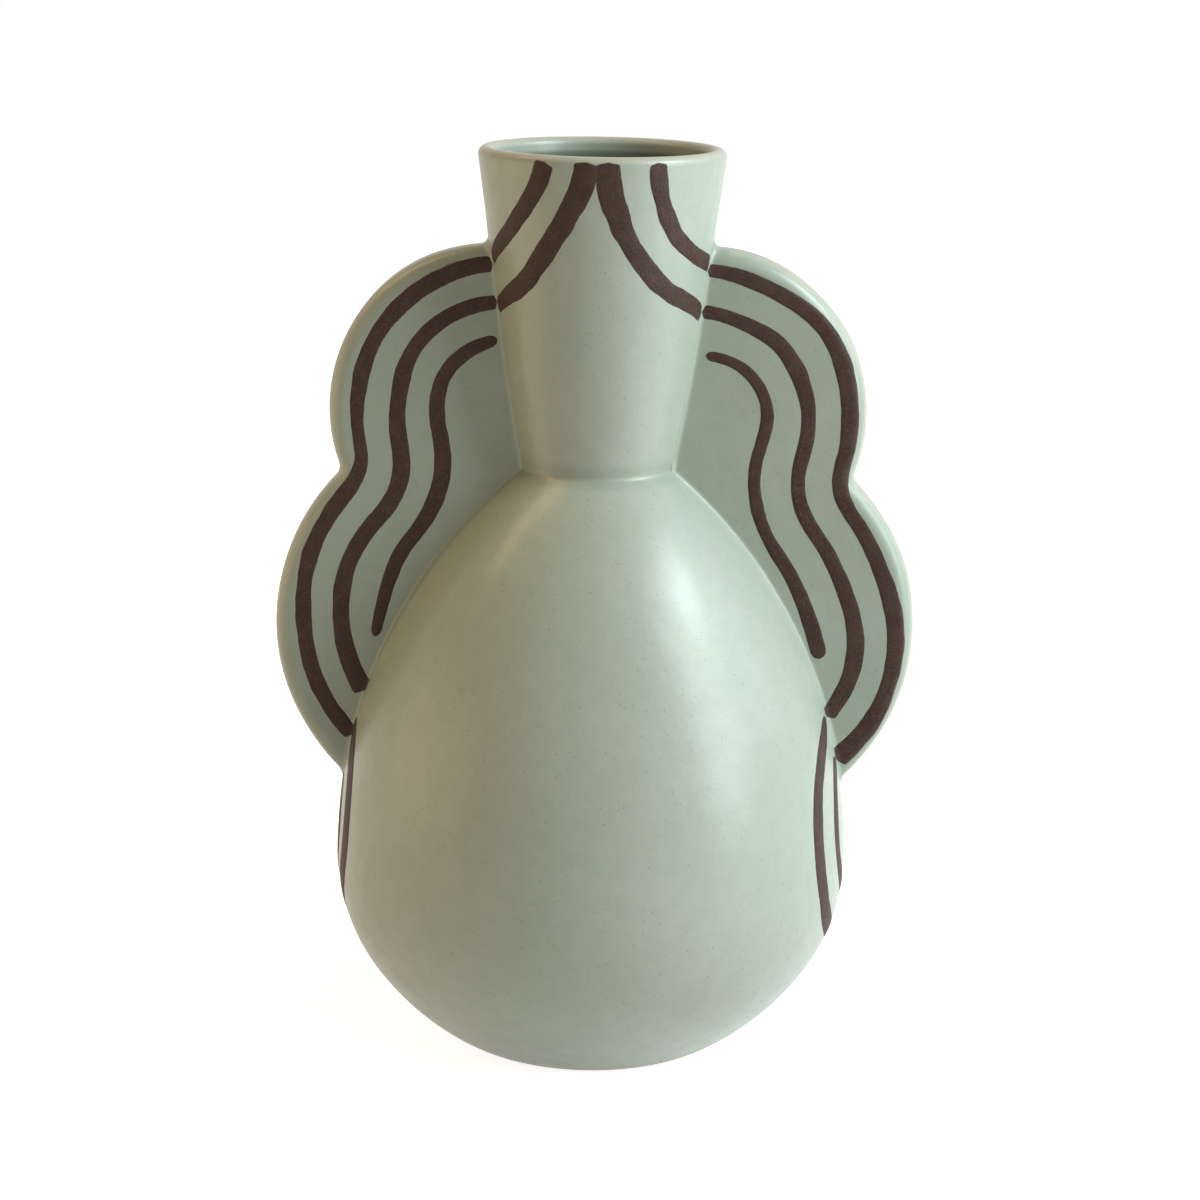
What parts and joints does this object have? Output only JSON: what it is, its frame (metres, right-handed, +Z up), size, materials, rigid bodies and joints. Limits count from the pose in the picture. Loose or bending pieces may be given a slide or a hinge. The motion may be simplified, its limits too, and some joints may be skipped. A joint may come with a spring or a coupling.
{
  "type": "winged flower vase",
  "caption": "Hand-built stoneware vase: low egg-shaped body, flaring neck, two scalloped slab wings, brown slip stripes on a sage glaze.",
  "frame": {"origin": "middle of the foot, on the surface that the vase stands on", "axes": "+Z up, +X towards the right wing, +Y towards the back"},
  "size_m": [0.2162, 0.1748, 0.305],
  "materials": {
    "glaze": "satin-matt sage glaze",
    "slip": "matt brown slip"
  },
  "bodies": {
    "root": {"body": "glaze", "neck": "glaze", "right_wing": "glaze", "left_wing": "glaze", "right_wing_front_outer_stripe": "slip", "right_wing_front_middle_stripe": "slip", "right_wing_front_inner_stripe": "slip", "right_wing_back_outer_stripe": "slip", "right_wing_back_middle_stripe": "slip", "right_wing_back_inner_stripe": "slip", "left_wing_front_outer_stripe": "slip", "left_wing_front_middle_stripe": "slip", "left_wing_front_inner_stripe": "slip", "left_wing_back_outer_stripe": "slip", "left_wing_back_middle_stripe": "slip", "left_wing_back_inner_stripe": "slip", "neck_front_right_outer_stripe": "slip", "neck_front_right_inner_stripe": "slip", "neck_front_left_outer_stripe": "slip", "neck_front_left_inner_stripe": "slip", "neck_back_right_outer_stripe": "slip", "neck_back_right_inner_stripe": "slip", "neck_back_left_outer_stripe": "slip", "neck_back_left_inner_stripe": "slip", "right_foot_inner_ring": "slip", "right_foot_outer_ring": "slip", "left_foot_inner_ring": "slip", "left_foot_outer_ring": "slip"}
  },
  "joints": []
}
